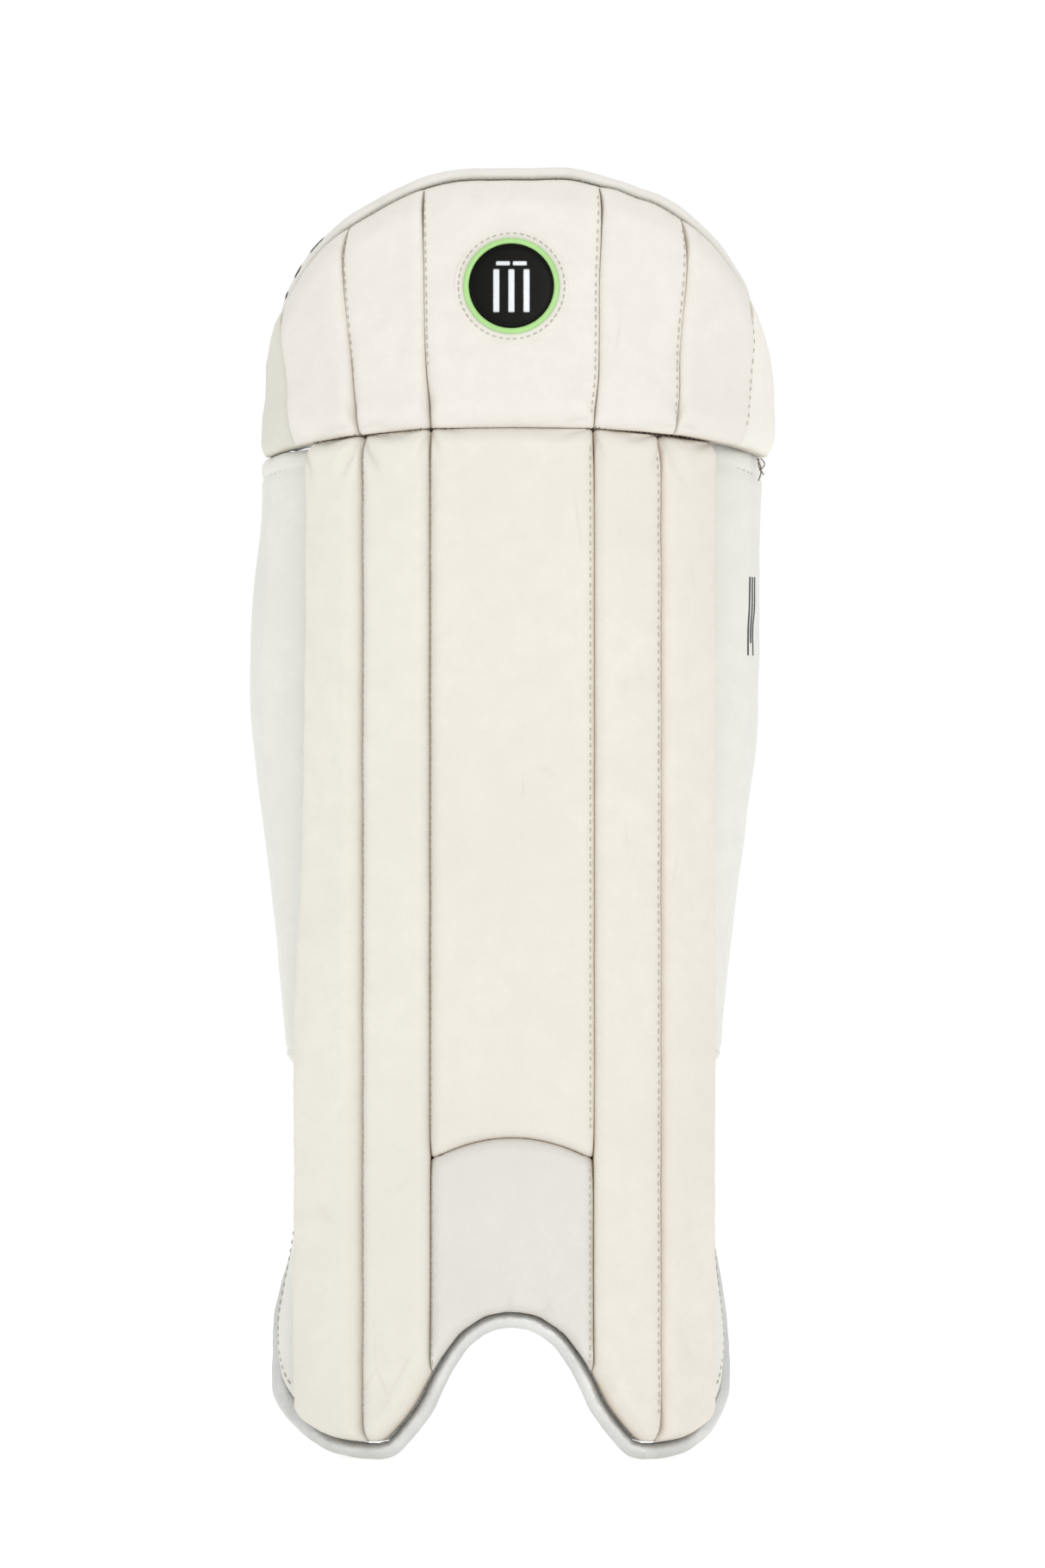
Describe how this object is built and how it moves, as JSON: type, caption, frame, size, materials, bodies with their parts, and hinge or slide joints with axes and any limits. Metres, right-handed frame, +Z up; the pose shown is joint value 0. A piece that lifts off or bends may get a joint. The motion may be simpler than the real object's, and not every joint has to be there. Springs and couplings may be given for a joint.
{
  "type": "cricket leg pad",
  "caption": "Padded cricket leg guard with vertical front rolls, hinged knee flap, side wings, piped instep arch and rear hook-and-loop straps.",
  "frame": {"origin": "on the ground plane under the two lobes, at the middle of the pad's width and of its depth", "axes": "+Z up along the shin, -Y out of the padded front, +X to the viewer's right when the front is seen"},
  "size_m": [0.243, 0.1614, 0.6173],
  "materials": {
    "cover_leather": "matt cream polyurethane leather cloth, fine grain",
    "instep_leather": "matt white-grey leather cloth",
    "flap_leather": "matt white leather cloth, fine grain",
    "wing_leather": "matt cool white leather cloth",
    "silver_leather": "silver metallic leather cloth, satin",
    "binding_leather": "white leather cloth binding",
    "strap_leather": "white leather cloth",
    "foam": "high density foam",
    "cane": "split cane rods",
    "backing_canvas": "stiffened canvas board",
    "lining_mesh": "knitted lining over thin foam",
    "cushion_mesh": "knitted mesh over foam",
    "strap_webbing": "white elastic webbing",
    "loop_tape": "loop tape",
    "badge_rim": "pale green moulded rim",
    "badge_black": "gloss black domed plastic",
    "badge_silver": "white-silver raised bars"
  },
  "bodies": {
    "shin": {"shin_cover_centre": "cover_leather", "shin_cover_inner_left": "cover_leather", "shin_cover_inner_right": "cover_leather", "shin_cover_outer_left": "cover_leather", "shin_cover_outer_right": "cover_leather", "instep_cover": "instep_leather", "shin_core_centre": "foam", "shin_core_inner_left": "foam", "shin_core_inner_right": "foam", "shin_core_outer_left": "foam", "shin_core_outer_right": "foam", "instep_core": "foam", "cane_rods": "cane", "backing_board": "backing_canvas", "shin_lining": "lining_mesh", "leg_rest_pad": "cushion_mesh", "leg_bolster_left": "cushion_mesh", "leg_bolster_right": "cushion_mesh", "edge_piping": "silver_leather", "ankle_wing_cover_left": "wing_leather", "ankle_wing_cover_right": "wing_leather", "ankle_wing_foam": "foam", "ankle_wing_lining": "lining_mesh", "ankle_loop_patch": "loop_tape", "ankle_strap_anchor": "strap_leather", "wing_hinge_seams": "wing_leather"},
    "knee_flap": {"flap_cover_centre": "flap_leather", "flap_cover_inner_left": "flap_leather", "flap_cover_inner_right": "flap_leather", "flap_cover_mid_left": "flap_leather", "flap_cover_mid_right": "flap_leather", "flap_cover_edge_left": "flap_leather", "flap_cover_edge_right": "flap_leather", "flap_core_centre": "foam", "flap_cores_left": "foam", "flap_cores_right": "foam", "flap_board": "backing_canvas", "flap_lining": "lining_mesh", "knee_cushion": "cushion_mesh", "top_binding": "binding_leather", "badge_patch": "flap_leather", "badge_rim": "badge_rim", "badge_face": "badge_black", "badge_emblem": "badge_silver"},
    "left_wing": {"wing_cover_left": "wing_leather", "wing_foam_left": "foam", "wing_lining_left": "lining_mesh", "calf_loop_patches": "loop_tape"},
    "right_wing": {"wing_cover_right": "wing_leather", "wing_foam_right": "foam", "wing_lining_right": "lining_mesh", "calf_strap_anchors": "strap_leather"},
    "upper_strap": {"upper_calf_strap": "strap_webbing"},
    "upper_tip": {"upper_strap_tip": "strap_leather"},
    "lower_strap": {"lower_calf_strap": "strap_webbing"},
    "lower_tip": {"lower_strap_tip": "strap_leather"},
    "ankle_strap_body": {"ankle_strap": "strap_webbing"},
    "ankle_tip": {"ankle_strap_tip": "strap_leather"}
  },
  "joints": [
    {"name": "knee_flap_hinge", "type": "hinge", "parent": "shin", "child": "knee_flap", "pos_m": [0, 0.01217, 0.48063], "axis": [-1, 0, 0], "range_deg": [0, 12], "stiffness_Nm_per_rad": 1.5},
    {"name": "left_wing_hinge", "type": "hinge", "parent": "shin", "child": "left_wing", "pos_m": [-0.0932, -0.03363, 0.33213], "axis": [0, 0, 1], "range_deg": [0, 35], "stiffness_Nm_per_rad": 0.25},
    {"name": "right_wing_hinge", "type": "hinge", "parent": "shin", "child": "right_wing", "pos_m": [0.0932, -0.03363, 0.33213], "axis": [0, 0, -1], "range_deg": [0, 35], "stiffness_Nm_per_rad": 0.25},
    {"name": "upper_strap_hinge", "type": "hinge", "parent": "right_wing", "child": "upper_strap", "pos_m": [0.094, 0.06587, 0.39913], "axis": [0, 0, -1], "range_deg": [0, 110]},
    {"name": "upper_tip_peel", "type": "hinge", "parent": "upper_strap", "child": "upper_tip", "pos_m": [-0.086, 0.06606, 0.39913], "axis": [0, 0, -1], "range_deg": [0, 80]},
    {"name": "lower_strap_hinge", "type": "hinge", "parent": "right_wing", "child": "lower_strap", "pos_m": [0.083, 0.06587, 0.26113], "axis": [0, 0, -1], "range_deg": [0, 110]},
    {"name": "lower_tip_peel", "type": "hinge", "parent": "lower_strap", "child": "lower_tip", "pos_m": [-0.076, 0.06606, 0.26113], "axis": [0, 0, -1], "range_deg": [0, 80]},
    {"name": "ankle_strap_hinge", "type": "hinge", "parent": "shin", "child": "ankle_strap_body", "pos_m": [0.0842, 0.02377, 0.15813], "axis": [0, 0, -1], "range_deg": [0, 110]},
    {"name": "ankle_tip_peel", "type": "hinge", "parent": "ankle_strap_body", "child": "ankle_tip", "pos_m": [-0.0798, 0.02377, 0.15813], "axis": [0, 0, -1], "range_deg": [0, 80]}
  ]
}
